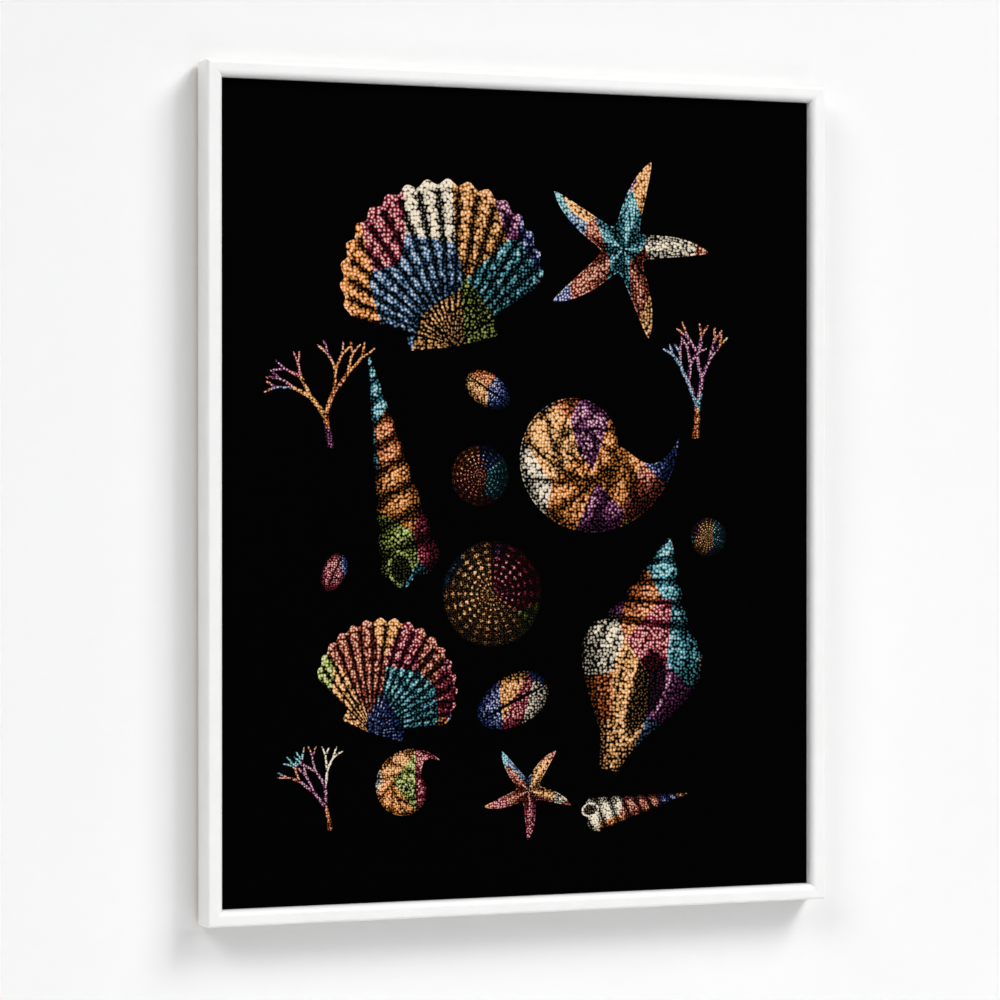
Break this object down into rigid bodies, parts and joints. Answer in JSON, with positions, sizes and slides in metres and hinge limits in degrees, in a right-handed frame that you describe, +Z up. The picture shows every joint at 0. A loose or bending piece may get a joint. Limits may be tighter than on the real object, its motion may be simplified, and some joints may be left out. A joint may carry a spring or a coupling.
{
  "type": "framed canvas print",
  "caption": "Portrait canvas print in a slim white mitred frame: cloth on a pine stretcher, set back behind a rounded lip, hung by a sawtooth hanger on wall pads.",
  "frame": {"origin": "the point on the wall under the middle notch of the hanger, where the nail sits; the wall is Y = 0", "axes": "+Z up along the height, +X to the right as the picture is looked at, +Y into the wall, so the picture looks towards -Y"},
  "size_m": [0.7372, 0.0423, 0.9372],
  "materials": {
    "frame_lacquer": "satin white lacquer",
    "canvas_print": "matt ink on woven canvas",
    "bar_pine": "planed, unfinished",
    "key_beech": "sawn, unfinished",
    "zinc_steel": "bright zinc",
    "pad_rubber": "clear, soft"
  },
  "bodies": {
    "root": {"frame_top": "frame_lacquer", "frame_right": "frame_lacquer", "frame_bottom": "frame_lacquer", "frame_left": "frame_lacquer", "canvas": "canvas_print", "stretcher_top": "bar_pine", "stretcher_right": "bar_pine", "stretcher_bottom": "bar_pine", "stretcher_left": "bar_pine", "stretcher_brace": "bar_pine", "key_top_left_a": "key_beech", "key_top_left_b": "key_beech", "key_top_right_a": "key_beech", "key_top_right_b": "key_beech", "key_bottom_left_a": "key_beech", "key_bottom_left_b": "key_beech", "key_bottom_right_a": "key_beech", "key_bottom_right_b": "key_beech", "screw_top_a": "zinc_steel", "screw_top_b": "zinc_steel", "screw_right_a": "zinc_steel", "screw_right_b": "zinc_steel", "screw_bottom_a": "zinc_steel", "screw_bottom_b": "zinc_steel", "screw_left_a": "zinc_steel", "screw_left_b": "zinc_steel", "hanger": "zinc_steel", "hanger_tack_left": "zinc_steel", "hanger_tack_right": "zinc_steel", "bumper_top_left": "pad_rubber", "bumper_top_right": "pad_rubber", "bumper_bottom_left": "pad_rubber", "bumper_bottom_right": "pad_rubber"}
  },
  "joints": []
}
